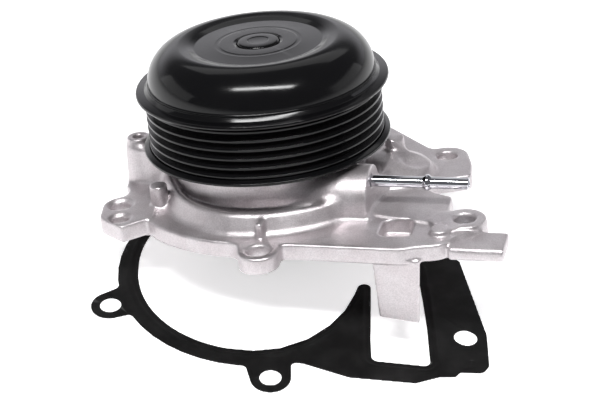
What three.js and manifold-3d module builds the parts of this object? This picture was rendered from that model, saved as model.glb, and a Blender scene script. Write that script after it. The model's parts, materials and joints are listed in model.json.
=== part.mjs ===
// Switchable coolant pump of a belt-driven engine, lying on its loose gasket.
// Millimetres, +Z up. The pump is modelled about its own shaft axis, with z = 0 on the
// mating face and the pulley above it, and then leant over as it lies on a table.
import * as THREE from 'three';
import { ConvexGeometry } from 'three/addons/geometries/ConvexGeometry.js';
import { mergeVertices } from 'three/addons/utils/BufferGeometryUtils.js';
import Module from 'manifold-3d';

const wasm = await Module();
wasm.setup();

// ---------- driving dimensions ----------
const GAP = 0.3; // clearance between pieces that touch in the real pump
const ROUND = 36; // facets round a large turned piece
const SMALL_ROUND = 12; // facets round a boss or a hole

const RIB_PITCH = 3.56; // pitch of a PK belt
const RIBS = 6;
const CREST_R = 45.4; // outside of the belt ribs
const RIB_DEPTH = 2.7;
const RIM_R = 48.4; // upper flange of the belt track
const LOWER_RIM_R = 47.7;
const RIM_Z = 48.9; // top of the upper flange
const PULLEY_FOOT_Z = 25; // lower edge of the pulley
const CAP_R = 43.4; // wall of the domed cap
const CROWN_Z = 65; // highest ring of the cap
const CROWN_R = 30;
const SHOULDER_R = 13.4; // round between crown and wall
const DISH_Z = 63.9; // pressed centre of the cap
const SHEET = 2.6; // wall of the deep-drawn pulley

const SHAFT_R = 7.96; // standard 15.918 mm water pump shaft
const SHAFT_TOP_Z = 64.3;
const SHAFT_FOOT_Z = -9.4;
const BEARING_R = 15;
const BEARING_FOOT_Z = 17;
const BEARING_TOP_Z = 55.9;
const RACE_R = 12.2; // inside of the bearing's outer ring
const BALLS = 8;
const BALL_ROWS_Z = [24, 48];

const FLANGE_T = 6.5; // thickness of the mounting flange
const FLANGE_R = 55; // round part of the flange
const NECK_R = 37; // drum below the pulley
const NECK_TOP_Z = 23.8;
const CHAMBER_R = 33.6; // bore that the shutter slides in
const SNOUT_R = 19.6; // tube that holds the bearing
const RIDGE_Z = 13.8; // top of the volute's roof
const HOLE_R = 4; // flange holes, clearance for M7 screws
const LUG_R = 8;

const IMPELLER_R = 30.6;
const IMPELLER_FOOT_Z = -11.1;
const BLADES = 7;
const SHUTTER_R = 33.2;
const SHUTTER_BORE_R = 31.4;
const SHUTTER_TOP_Z = 17.6;
const SPRING_R = 24.4; // return spring, to the middle of its wire
const SPRING_SEAT_Z = 2.4;

const DOWEL_DROP = 3.2; // how far a dowel bush stands out of the mating face
const GASKET_T = 0.6;
const LEAN_DEG = 13.4; // how far the shaft leans from upright
const LEAN_TOWARDS_DEG = 111.6; // compass direction of the lean, from +X
const TURN_DEG = -14.5; // turn of the casting about its own axis
const PUMP_PLACE = [4.9, 23.9, 18.15]; // mating-face centre, from the gasket ring's centre

// Flange holes of the casting, [x, y] on the mating face.
const HOLE_LEFT = [-52.8, -28.6];
const HOLE_LEFT_PIN = [-48.8, -40.1];
const HOLE_FRONT = [11.8, -59.9];
const HOLE_RIGHT = [81.5, -30.3];
const HOLE_REAR_RIGHT = [64.5, 27.7];
const HOLE_REAR = [-35.9, 49.3];

// ---------- solids ----------
function solid(geometry) {
  const bare = geometry.index ? geometry.clone() : geometry;
  for (const name of ['normal', 'uv']) {
    bare.deleteAttribute(name);
  }
  const merged = mergeVertices(bare);
  const index = merged.index.array;
  const corners = [];
  for (let i = 0; i < index.length; i += 3) {
    const [a, b, c] = [index[i], index[i + 1], index[i + 2]];
    if (a !== b && b !== c && a !== c) {
      corners.push(a, b, c);
    }
  }
  const place = merged.attributes.position.array;
  if (signedVolume(place, corners) < 0) {
    corners.reverse();
  }
  return new wasm.Manifold(new wasm.Mesh({
    numProp: 3,
    vertProperties: new Float32Array(place),
    triVerts: new Uint32Array(corners),
  }));
}

function signedVolume(place, corners) {
  const [a, b, c] = [new THREE.Vector3(), new THREE.Vector3(), new THREE.Vector3()];
  let volume = 0;
  for (let i = 0; i < corners.length; i += 3) {
    a.fromArray(place, corners[i] * 3);
    b.fromArray(place, corners[i + 1] * 3);
    c.fromArray(place, corners[i + 2] * 3);
    volume += a.dot(b.cross(c));
  }
  return volume;
}

function union(parts) {
  return parts.reduce((whole, part) => whole.add(part));
}

function geometryOf(body) {
  const mesh = body.getMesh();
  const geometry = new THREE.BufferGeometry();
  geometry.setAttribute('position', new THREE.BufferAttribute(mesh.vertProperties, 3));
  geometry.setIndex(new THREE.BufferAttribute(mesh.triVerts, 1));
  geometry.computeVertexNormals();
  return geometry;
}

// A turned body: profile points [radius, z], closed through the axis or on itself.
function turned(profile, facets = ROUND) {
  const points = profile.map(([r, z]) => new THREE.Vector2(r, z));
  return solid(new THREE.LatheGeometry(points, facets).rotateX(Math.PI / 2));
}

// A plain ring or disc between two heights.
function ring(inner, outer, low, high, facets = ROUND) {
  if (inner === 0) {
    return turned([[0, low], [outer, low], [outer, high], [0, high]], facets);
  }
  return turned([[inner, low], [outer, low], [outer, high], [inner, high], [inner, low]], facets);
}

// A round post that may taper.
function post([x, y], low, high, footR, topR = footR, facets = SMALL_ROUND) {
  const geometry = new THREE.CylinderGeometry(topR, footR, high - low, facets);
  geometry.rotateX(Math.PI / 2).translate(x, y, (low + high) / 2);
  return solid(geometry);
}

// A bar along x.
function bar(fromX, toX, y, z, r, facets = SMALL_ROUND) {
  const geometry = new THREE.CylinderGeometry(r, r, toX - fromX, facets);
  geometry.rotateZ(Math.PI / 2).translate((fromX + toX) / 2, y, z);
  return solid(geometry);
}

function block([x0, x1], [y0, y1], [z0, z1]) {
  const geometry = new THREE.BoxGeometry(x1 - x0, y1 - y0, z1 - z0);
  return solid(geometry.translate((x0 + x1) / 2, (y0 + y1) / 2, (z0 + z1) / 2));
}

// The taut outline round a set of circles [x, y, r], as points in order.
function tautOutline(circles, facets = SMALL_ROUND) {
  const points = [];
  for (const [x, y, r] of circles) {
    const count = r > 20 ? ROUND : facets;
    for (let i = 0; i < count; i += 1) {
      const angle = (2 * Math.PI * i) / count;
      points.push([x + r * Math.cos(angle), y + r * Math.sin(angle)]);
    }
  }
  points.sort((p, q) => p[0] - q[0] || p[1] - q[1]);
  const turn = (o, p, q) => (p[0] - o[0]) * (q[1] - o[1]) - (p[1] - o[1]) * (q[0] - o[0]);
  const half = (list) => {
    const chain = [];
    for (const point of list) {
      while (chain.length > 1 && turn(chain.at(-2), chain.at(-1), point) <= 1e-6) {
        chain.pop();
      }
      chain.push(point);
    }
    return chain.slice(0, -1);
  };
  return [...half(points), ...half([...points].reverse())];
}

// A flat plate of some outline.
function sheet(outline, low, high) {
  const shape = new THREE.Shape(outline.map(([x, y]) => new THREE.Vector2(x, y)));
  const geometry = new THREE.ExtrudeGeometry(shape, { depth: high - low, bevelEnabled: false });
  return solid(geometry.translate(0, 0, low));
}

// A plate with the taut outline of some circles.
function strap(circles, low, high) {
  return sheet(tautOutline(circles), low, high);
}

function arcPoints([x, y], r, fromDeg, toDeg, steps) {
  return Array.from({ length: steps + 1 }, (_, i) => {
    const angle = THREE.MathUtils.degToRad(fromDeg + ((toDeg - fromDeg) * i) / steps);
    return [x + r * Math.cos(angle), y + r * Math.sin(angle)];
  });
}

// ---------- the finishes ----------
const FINISHES = {
  cast_aluminium: { color: 0xb9b1ae, roughness: 0.45, metalness: 0.9 },
  black_paint: { color: 0x0c0c0e, roughness: 0.22, metalness: 0.1 },
  bright_steel: { color: 0xc9cbd0, roughness: 0.15, metalness: 1 },
  bearing_steel: { color: 0x9a9ca0, roughness: 0.25, metalness: 1 },
  black_plastic: { color: 0x1d1d1f, roughness: 0.55, metalness: 0 },
  rubber: { color: 0x151515, roughness: 0.8, metalness: 0 },
  carbon: { color: 0x2b2b2e, roughness: 0.5, metalness: 0.2 },
  gasket_coat: { color: 0x121214, roughness: 0.5, metalness: 0.1 },
};

function piece(name, body, finish) {
  const material = new THREE.MeshStandardMaterial(FINISHES[finish]);
  const mesh = new THREE.Mesh(geometryOf(body), material);
  mesh.name = name;
  return mesh;
}

// ---------- the casting ----------
const FRONT_EDGE_Y = -54.6; // straight front edge of the flange
const DUCT = { x: 45.8, y: -21.5, z: 11.4, r: 11.6 }; // half-round discharge duct
const PLATFORM_Z = 7.6; // raised top beyond the duct and round the right-hand lug
const BLOCK_Z = 7.2; // raised top round the left-hand holes
const VOLUTE_GROWTH = 6.6; // how much wider the volute is at its outlet than at its start
const ARM = { x: [78.6, 98.6], y: [-49.8, -35.5], top: 5.2, round: 4.4 };
const LEG = { front: -53.2, back: -31.5, left: 51.2, frontRight: 69.1, backRight: 63 };
const LEG_TOP_Z = 1;
const LEG_FOOT_Z = -24; // at its left side
const LEG_SLANT = 1.7; // how much lower its right side ends
const DRAFT = 1.4; // how far each side of the leg comes in at the foot
const POCKET = { x: [52, 63.8], y: [-44.5, -31.9], floor: 1.2, corner: 2.5 };
const FRONT_RIB = { x: [8.6, 11.2], y: [-51.4, -44], top: 12.6 };
const PIPE = { y: -22, z: 17.6, r: 2.15, from: 41, to: 82.2, bead: 66.8 };
const TALL_BOSS = [-53, -1.8];
const TALL_BOSS_Z = 24.4;
const SMALL_BOSS = [-37.1, -26.6];
const SMALL_BOSS_Z = 15.1;
const MOUND = [46, 8]; // foot of the rear boss
const REAR_BOSS = [46.7, 15];
const REAR_BOSS_Z = 19.4;
const DISC_BOSS = [74.3, -40.6];
const SINK = 0.5; // how deep a part of the casting reaches into the flange from above z = 0

function flange() {
  const plates = [
    [[0, 0, FLANGE_R]],
    [[-52.6, -28.8, 6.9], [-40, -30, 8], [-40, -10, 8]],
    [[-52.2, -8, 5.4], [-52.5, -2, 6], [-38, 22, 10], [-38, -20, 8]],
    [[...HOLE_FRONT, 7.6], [8, -44, 9]],
    [[22, FRONT_EDGE_Y + 4, 4], [61, FRONT_EDGE_Y + 4, 4], [72, -43.5, 6], [40, 0, 10]],
    [[72, -43.5, 6], [...HOLE_RIGHT, 8.2], [71, -20, 5.2], [58, -42, 6]],
    [[...HOLE_REAR_RIGHT, 8.5], [72.6, 20.5, 3], [74.7, 11.3, 2.3], [40, 5, 10]],
    [[70.2, -12.6, 3.6], [71, -20, 5.2], [40, 0, 10], [40, -20, 8]],
    [[33, 49, 6.5], [53, 31, 5], [30, 20, 10]],
    [[...HOLE_REAR, LUG_R], [-25, 33, 12]],
  ];
  return union(plates.map((circles) => strap(circles, 0, FLANGE_T)));
}

// A turned body whose rim lies further out towards the outlet, like a snail's shell.
function voluteShape(profile) {
  const { clamp, radToDeg } = THREE.MathUtils;
  const points = profile.map(([r, z]) => new THREE.Vector2(r, z));
  const geometry = new THREE.LatheGeometry(points, 2 * ROUND).rotateX(Math.PI / 2);
  const place = geometry.attributes.position;
  for (let i = 0; i < place.count; i += 1) {
    const [x, y] = [place.getX(i), place.getY(i)];
    const r = Math.hypot(x, y);
    if (r > 1) {
      const bearing = radToDeg(Math.atan2(y, x));
      const share = Math.min(clamp((bearing + 143) / 50, 0, 1), clamp((100 - bearing) / 60, 0, 1));
      const scale = (r + VOLUTE_GROWTH * share) / r;
      place.setXY(i, x * scale, y * scale);
    }
  }
  return solid(geometry);
}

function voluteRoof() {
  return voluteShape([
    [0, SINK], [43.8, SINK], [43.4, 7.2], [40.8, 12.6], [39.6, RIDGE_Z], [37.8, RIDGE_Z],
    [36.4, 11], [0, 10.4],
  ]);
}

// The drum above the volute and the tube for the bearing, turned in one.
function drum() {
  return turned([
    [0, SINK], [NECK_R, SINK], [NECK_R - 0.4, NECK_TOP_Z - 1.2],
    [NECK_R - 1.8, NECK_TOP_Z], [SNOUT_R + 2.4, NECK_TOP_Z], [SNOUT_R, NECK_TOP_Z + 2.4],
    [SNOUT_R, BEARING_TOP_Z - 0.8], [SNOUT_R - 1, BEARING_TOP_Z + 0.2], [0, BEARING_TOP_Z + 0.2],
  ]);
}

// The side outlet: a half-round duct and the low platform beyond it.
function outlet() {
  const { x, y, z, r } = DUCT;
  return [
    bar(14, x, y, z, r, 24),
    block([14, x], [y - r, y + 8], [SINK, z]),
    strap([[50, -27, 3], [60.8, -27, 2.4], [71, -32.2, 2.4], [76, -37, 4], [...HOLE_RIGHT, 7],
      [71, -20, 5], [70.2, -12.6, 3.4], [44, -6, 5]], SINK, PLATFORM_Z),
  ];
}

// The stub arm beyond the right-hand lug, rounded along its front.
function arm() {
  const { x, y, top, round } = ARM;
  const front = y[0] + round;
  return union([
    bar(x[0], x[1], front, top - round, round, 16).intersect(block(x, y, [SINK, top])),
    block(x, [front, y[1]], [SINK, top]),
  ]);
}

// A leg that narrows towards its slanting foot, and towards its back.
function leg() {
  const { front, back, left, frontRight, backRight } = LEG;
  const footRight = LEG_FOOT_Z - LEG_SLANT;
  return solid(new ConvexGeometry([
    [left, front, LEG_TOP_Z], [frontRight, front, LEG_TOP_Z],
    [backRight, back, LEG_TOP_Z], [left, back, LEG_TOP_Z],
    [left + DRAFT, front + DRAFT / 2, LEG_FOOT_Z], [frontRight - DRAFT, front + DRAFT / 2, footRight],
    [backRight - DRAFT, back - DRAFT, footRight], [left + DRAFT, back - DRAFT, LEG_FOOT_Z],
  ].map((corner) => new THREE.Vector3(...corner))));
}

function castingOutside() {
  const frontRib = block(FRONT_RIB.x, FRONT_RIB.y, [SINK, FRONT_RIB.top]);
  const leftBlock = strap([[-52.6, -28.8, 6.9], [-51.6, -37, 6], [-45.8, -46, 1.5],
    [-37.6, -37.6, 1.5], [-44, -20, 5]], 0, BLOCK_Z);
  const gusset = strap([[-52.6, -2.2, 4.8], [-40, -4.8, 4.8]], SINK, TALL_BOSS_Z - 2.8);
  const bosses = [
    post(TALL_BOSS, SINK, TALL_BOSS_Z, 5.8, 4.5),
    post(SMALL_BOSS, SINK, SMALL_BOSS_Z, 3.8, 3.3),
    post(MOUND, SINK, 9.4, 17.4, 16.2, 24),
    post(MOUND, 9.4, 14, 15.2, 8, 24),
    post(REAR_BOSS, SINK, REAR_BOSS_Z, 4.6, 3.7),
    post(DISC_BOSS, SINK, PLATFORM_Z + 0.9, 3.8, 3.5),
    post(HOLE_RIGHT, SINK, PLATFORM_Z + 0.3, 8.3, 7.9),
  ];
  return union([
    flange(), voluteRoof(), drum(), ...outlet(), arm(), frontRib, leg(), leftBlock, gusset, ...bosses,
  ]);
}

function castingHollows() {
  const axisBore = [
    ring(0, BEARING_R + GAP, BEARING_FOOT_Z - GAP, 80),
    ring(0, 13.4, -1, BEARING_FOOT_Z, 40),
  ];
  const chamber = ring(SNOUT_R, CHAMBER_R, -1, NECK_TOP_Z - 3);
  const volute = voluteShape([[0, -1], [39.4, -1], [39.4, 8.8], [0, 8.8]])
    .subtract(ring(0, NECK_R, -2, 20));
  const ductCore = strap([[38.5, DUCT.y + 3, 3], [41, DUCT.y - 5, 3], [41, DUCT.y + 3, 3]], -1, 12);
  const pocketCorners = [POCKET.x[0] + POCKET.corner, POCKET.x[1] - POCKET.corner].flatMap((x) => [
    [x, POCKET.y[0] + POCKET.corner, POCKET.corner],
    [x, POCKET.y[1] - POCKET.corner, POCKET.corner],
  ]);
  const pocket = strap(pocketCorners, POCKET.floor, 30);
  const holes = [HOLE_LEFT, HOLE_FRONT, HOLE_RIGHT, HOLE_REAR_RIGHT, HOLE_REAR];
  return [
    ...axisBore, chamber, volute, ductCore, pocket,
    ...holes.map((hole) => post(hole, -1, 30, HOLE_R)),
    post(HOLE_LEFT_PIN, -1, 30, 3.2),
    post(TALL_BOSS, 10, 40, 2.1),
    bar(PIPE.from - GAP, DUCT.x + 1, PIPE.y, PIPE.z, PIPE.r + GAP, 16),
  ];
}

function casting() {
  // The shaft seal's tube and the shutter's cylinder hang below the roof.
  const seal = ring(13.4, SNOUT_R, 0.8, BEARING_FOOT_Z, 48);
  const outside = castingOutside();
  const hollow = castingHollows().reduce((body, hole) => body.subtract(hole), outside);
  return hollow.add(seal);
}

// ---------- the pulley ----------
function pulley() {
  const outer = [];
  const shoulder = arcPoints([CROWN_R, CROWN_Z - SHOULDER_R], SHOULDER_R, 90, 0, 7);
  outer.push([SHAFT_R + GAP, DISH_Z], [24, DISH_Z], [27, DISH_Z + 0.3]);
  outer.push(...shoulder);
  outer.push([CAP_R, RIM_Z + 0.9], [RIM_R - 0.5, RIM_Z], [RIM_R, RIM_Z - 0.6]);
  outer.push([RIM_R - 0.3, RIM_Z - 1.6]);
  const firstCrest = 36.5 + 2.5 * RIB_PITCH;
  for (let i = 0; i < RIBS; i += 1) {
    const top = firstCrest - i * RIB_PITCH + RIB_PITCH / 2;
    outer.push([CREST_R, top - 0.35]);
    outer.push([CREST_R - RIB_DEPTH, top - RIB_PITCH / 2]);
    outer.push([CREST_R, top - RIB_PITCH + 0.35]);
  }
  outer.push([LOWER_RIM_R, PULLEY_FOOT_Z + 1], [LOWER_RIM_R - 0.4, PULLEY_FOOT_Z]);
  const wallR = CREST_R - RIB_DEPTH - 1.7;
  const inner = [
    [wallR, PULLEY_FOOT_Z],
    [wallR, RIM_Z + 3],
    ...arcPoints([CROWN_R, CROWN_Z - SHOULDER_R], SHOULDER_R - SHEET, 10, 90, 4),
    [13.4, DISH_Z - SHEET],
    [13, BEARING_TOP_Z + 1.2],
    [SHAFT_R + GAP, BEARING_TOP_Z + 1.2],
    [SHAFT_R + GAP, DISH_Z],
  ];
  return turned([...outer, ...inner], ROUND);
}

// ---------- shaft, bearing and seal ----------
function shaft() {
  return turned([
    [0, SHAFT_FOOT_Z], [5.4, SHAFT_FOOT_Z], [6, SHAFT_FOOT_Z + 0.6], [6, 1], [SHAFT_R, 1.6],
    [SHAFT_R, SHAFT_TOP_Z - 0.5], [SHAFT_R - 0.5, SHAFT_TOP_Z], [0, SHAFT_TOP_Z],
  ], 24);
}

function bearingRing() {
  const profile = [[RACE_R, BEARING_FOOT_Z], [BEARING_R, BEARING_FOOT_Z],
    [BEARING_R, BEARING_TOP_Z - 0.4], [RACE_R, BEARING_TOP_Z - 0.4], [RACE_R, BEARING_FOOT_Z]];
  const groove = BALL_ROWS_Z.map((z) => turned(
    [...arcPoints([RACE_R - 0.6, z], 1.7, -90, 90, 3), [RACE_R - 2, z + 1.7],
      [RACE_R - 2, z - 1.7], [RACE_R - 0.6, z - 1.7]],
    24,
  ));
  return groove.reduce((body, cut) => body.subtract(cut), turned(profile, 24));
}

function ballRow(z) {
  const pitchR = (SHAFT_R + RACE_R) / 2;
  const ballR = (RACE_R - SHAFT_R) / 2 - 0.15;
  const cage = ring(pitchR - 0.7, pitchR + 0.7, z - 2.6, z + 2.6, 16);
  const balls = Array.from({ length: BALLS }, (_, i) => {
    const angle = (2 * Math.PI * i) / BALLS;
    const ball = new THREE.SphereGeometry(ballR, 7, 5);
    return solid(ball.translate(pitchR * Math.cos(angle), pitchR * Math.sin(angle), z));
  });
  return union([cage, ...balls]);
}

function lipSeal(z, side) {
  return turned([
    [SHAFT_R + GAP, z], [RACE_R - GAP, z], [RACE_R - GAP, z + 1.8 * side],
    [SHAFT_R + 1.6, z + 1.8 * side], [SHAFT_R + GAP, z + 1.2 * side], [SHAFT_R + GAP, z],
  ], 24);
}

const SEAL_CUP_R = 13.1;

function sealCup() {
  return turned([
    [9, 14.6], [SEAL_CUP_R, 14.6], [SEAL_CUP_R, 5.2], [SEAL_CUP_R - 0.8, 5.2],
    [SEAL_CUP_R - 0.8, 13.8], [9, 13.8], [9, 14.6],
  ], 24);
}

function sealBellows() {
  const folds = [[9.2, 13.4]];
  for (let i = 0; i <= 4; i += 1) {
    folds.push([i % 2 ? 10.4 : 11.9, 13.4 - i * 1.2]);
  }
  folds.push([9.2, 8.6], [9.2, 13.4]);
  return turned(folds, 24);
}

// ---------- impeller ----------
function impeller() {
  const disc = ring(6.9, IMPELLER_R, -2.2, -0.4);
  const hub = ring(6.9, 10.6, IMPELLER_FOOT_Z + 1, -0.4, 24);
  const blade = (turnDeg) => {
    const outline = new THREE.Shape();
    const outside = arcPoints([14, 0], 17, 205, 325, 6);
    const inside = arcPoints([14, 0], 15.2, 325, 205, 6);
    outline.setFromPoints([...outside, ...inside].map(([x, y]) => new THREE.Vector2(x, y)));
    const geometry = new THREE.ExtrudeGeometry(outline, {
      depth: -IMPELLER_FOOT_Z - 1.2,
      bevelEnabled: false,
    });
    geometry.translate(0, 0, IMPELLER_FOOT_Z).rotateZ(THREE.MathUtils.degToRad(turnDeg));
    return solid(geometry);
  };
  const blades = Array.from({ length: BLADES }, (_, i) => blade((360 * i) / BLADES));
  const trim = ring(8.5, IMPELLER_R, IMPELLER_FOOT_Z - 1, 0);
  return union([disc, hub, union(blades).intersect(trim)]);
}

// ---------- shutter ----------
function shutterSleeve() {
  return turned([
    [SNOUT_R + 0.7, SHUTTER_TOP_Z - 1.6], [SHUTTER_BORE_R, SHUTTER_TOP_Z - 1.6],
    [SHUTTER_BORE_R, 0.6], [SHUTTER_R, 0.6], [SHUTTER_R, SHUTTER_TOP_Z],
    [SNOUT_R + 0.7, SHUTTER_TOP_Z], [SNOUT_R + 0.7, SHUTTER_TOP_Z - 1.6],
  ]);
}

function pistonSeal() {
  const [low, high] = [SHUTTER_TOP_Z + 0.3, SHUTTER_TOP_Z + 2.7];
  return turned([
    [SNOUT_R + 0.5, high], [SNOUT_R + 0.5, low], [CHAMBER_R - 0.5, low], [CHAMBER_R - 0.5, high],
    [CHAMBER_R - 1.9, high], [CHAMBER_R - 2.6, low + 1], [SNOUT_R + 2.6, low + 1],
    [SNOUT_R + 1.9, high], [SNOUT_R + 0.5, high],
  ]);
}

// A coil spring of a few turns about the shaft's axis.
function coilSpring(r, low, high, turns, wireR) {
  const curve = new THREE.Curve();
  curve.getPoint = (t, target = new THREE.Vector3()) => {
    const angle = 2 * Math.PI * turns * t;
    return target.set(r * Math.cos(angle), r * Math.sin(angle), low + (high - low) * t);
  };
  const section = new THREE.Shape(arcPoints([0, 0], wireR, 0, 300, 5)
    .map(([x, y]) => new THREE.Vector2(x, y)));
  return solid(new THREE.ExtrudeGeometry(section, {
    steps: Math.round(turns * 16),
    extrudePath: curve,
    bevelEnabled: false,
  }));
}

// The snap ring on the snout that the return spring stands on.
function springSeat() {
  return ring(SNOUT_R + GAP, SPRING_R + 2, SPRING_SEAT_Z - 1.2, SPRING_SEAT_Z, 28);
}

// ---------- pipe, dowels ----------
function vacuumPipe() {
  const [outer, bore, beadR] = [PIPE.r, PIPE.r - 0.7, 3];
  const profile = [
    [bore, PIPE.from], [outer, PIPE.from], [outer, PIPE.bead - 1.6], [beadR - 0.4, PIPE.bead - 1],
    [beadR, PIPE.bead - 0.3], [beadR, PIPE.bead + 0.3], [beadR - 0.4, PIPE.bead + 1],
    [outer, PIPE.bead + 1.6], [outer, PIPE.to - 0.4], [outer - 0.3, PIPE.to], [bore, PIPE.to],
    [bore, PIPE.from],
  ];
  const points = profile.map(([r, x]) => new THREE.Vector2(r, x));
  const geometry = new THREE.LatheGeometry(points, 16);
  return solid(geometry.rotateZ(-Math.PI / 2).translate(0, PIPE.y, PIPE.z));
}

function dowelBush([x, y]) {
  const [bore, outer, foot, top] = [HOLE_R - 1.1, HOLE_R - GAP, -DOWEL_DROP, 4];
  const geometry = new THREE.LatheGeometry([
    [bore, foot], [outer, foot], [outer, top], [bore, top], [bore, foot],
  ].map(([r, z]) => new THREE.Vector2(r, z)), SMALL_ROUND);
  return solid(geometry.rotateX(Math.PI / 2).translate(x, y, 0));
}

// ---------- gasket ----------
// Flat on the table, about the centre of its ring.
const GASKET_HOLES = { left: [-56.3, -22], front: [4.7, -61.4], rear_right: [67.3, 19.1] };
const GASKET_SLOT = [76.4, -40.4];
const GASKET_OUTLET_EDGE = [ // outline of the part round the outlet
  [77.6, 3.6], [81.6, -21.5], [84.2, -37], [84.4, -41], [83.8, -54], [82.9, -57], [80.6, -58.9],
  [72.9, -58.8], [71.4, -61], [65.3, -61.2], [58, -64], [55.4, -64.1], [33, -61.2], [12, -52],
  [30, -20], [60, 10],
];

function gasketOpening() {
  // Radius of the volute-shaped opening at a few bearings round the ring.
  const spiral = [[-24, 39.4], [-38, 40.8], [-52, 42.6], [-66, 44.8], [-80, 46.6], [-92, 47.3]];
  const points = spiral.map(([deg, r]) => arcPoints([0, 0], r, deg, deg, 1)[0]);
  for (let deg = -104; deg >= -216; deg -= 8) {
    points.push(arcPoints([0, 0], 47.4 + Math.max(0, -deg - 180) * 0.05, deg, deg, 1)[0]);
  }
  for (let deg = -224; deg >= -296; deg -= 8) {
    points.push(arcPoints([0, 0], 49.2 + (-deg - 216) * 0.07, deg, deg, 1)[0]);
  }
  points.push([48, 26], [55, 18], [58.6, 9], [60.6, -2], [61.8, -20], [62.5, -36], [62.5, -52]);
  points.push(...arcPoints([60.1, -53], 2.5, -10, -82, 4));
  points.push(...arcPoints([43.9, -50.4], 2.6, -98, -180, 4));
  points.push([41.3, -42], [42.4, -14]);
  points.push(...arcPoints([39.9, -12.5], 2.7, 20, 165, 6));
  return points;
}

function gasket() {
  const bands = [
    [[0, 0, 55.3]],
    [[...GASKET_HOLES.left, 7.4], [-44, -16, 9]],
    [[...GASKET_HOLES.front, 7.4], [3, -48, 9]],
    [[26, 26, 29], [9, 12, 46], [0, 0, 50]],
    [[...GASKET_HOLES.rear_right, 8], [60, -2, 17], [40, 20, 22]],
  ];
  const plate = union([
    ...bands.map((circles) => strap(circles, 0, GASKET_T)),
    sheet(GASKET_OUTLET_EDGE, 0, GASKET_T),
  ]);
  const holes = Object.values(GASKET_HOLES).map((hole) => post(hole, -1, 3, HOLE_R));
  const [x, y] = GASKET_SLOT;
  const slot = strap([[x - 0.35, y + 0.28, 3.9], [x + 0.35, y - 0.28, 3.9]], -1, 3);
  return [sheet(gasketOpening(), -1, 3), ...holes, slot]
    .reduce((body, cut) => body.subtract(cut), plate);
}

// ---------- assembly ----------
const pump = new THREE.Group();
pump.add(
  piece('pump_casting', casting(), 'cast_aluminium'),
  piece('belt_pulley', pulley(), 'black_paint'),
  piece('pump_shaft', shaft(), 'bearing_steel'),
  piece('bearing_outer_ring', bearingRing(), 'bearing_steel'),
  piece('bearing_seal_upper', lipSeal(BEARING_TOP_Z - 1, -1), 'rubber'),
  piece('bearing_seal_lower', lipSeal(BEARING_FOOT_Z + 0.6, 1), 'rubber'),
  piece('shaft_seal_cup', sealCup(), 'bright_steel'),
  piece('shaft_seal_bellows', sealBellows(), 'rubber'),
  piece('shaft_seal_carbon_ring', ring(SHAFT_R + 0.6, 11.4, 5.2, 8.2, 24), 'carbon'),
  piece('shaft_seal_running_ring', ring(SHAFT_R + GAP, 11.6, 2.2, 4.9, 24), 'carbon'),
  piece('impeller', impeller(), 'black_plastic'),
  piece('impeller_bush', ring(6.3, 6.6, IMPELLER_FOOT_Z + 1.3, -0.6, 24), 'bearing_steel'),
  piece('shutter_sleeve', shutterSleeve(), 'bearing_steel'),
  piece('shutter_piston_seal', pistonSeal(), 'rubber'),
  piece('shutter_return_spring', coilSpring(SPRING_R, SPRING_SEAT_Z + 1.2, 15, 2.5, 0.6),
    'bright_steel'),
  piece('spring_seat_ring', springSeat(), 'bearing_steel'),
  piece('vacuum_pipe', vacuumPipe(), 'bright_steel'),
  piece('dowel_bush_rear', dowelBush(HOLE_REAR), 'bearing_steel'),
  piece('dowel_bush_right', dowelBush(HOLE_RIGHT), 'bearing_steel'),
);
BALL_ROWS_Z.forEach((z, i) => {
  pump.add(piece(['bearing_balls_lower', 'bearing_balls_upper'][i], ballRow(z), 'bearing_steel'));
});

const leanAxis = new THREE.Vector3(0, 0, 1).cross(new THREE.Vector3(
  Math.cos(THREE.MathUtils.degToRad(LEAN_TOWARDS_DEG)),
  Math.sin(THREE.MathUtils.degToRad(LEAN_TOWARDS_DEG)),
  0,
));
pump.quaternion.setFromAxisAngle(leanAxis, THREE.MathUtils.degToRad(LEAN_DEG));
pump.quaternion.multiply(new THREE.Quaternion().setFromAxisAngle(
  new THREE.Vector3(0, 0, 1),
  THREE.MathUtils.degToRad(TURN_DEG),
));
pump.position.set(...PUMP_PLACE);

const model = new THREE.Group();
model.add(pump, piece('flange_gasket', gasket(), 'gasket_coat'));
const bounds = new THREE.Box3().setFromObject(model, true);
const middle = bounds.getCenter(new THREE.Vector3());
model.position.set(-middle.x, -middle.y, -bounds.min.z);

export default model;
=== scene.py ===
# Switchable coolant pump lying on its loose gasket: surfaces, materials, light and camera.
# Shapes are given in millimetres about the pump's own shaft axis, z = 0 on the mating face,
# and are then leant over into the frame. The gasket is given about its ring's centre.
import itertools
import json
import math

import bpy
import numpy as np
from mathutils import Matrix, Vector


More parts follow.
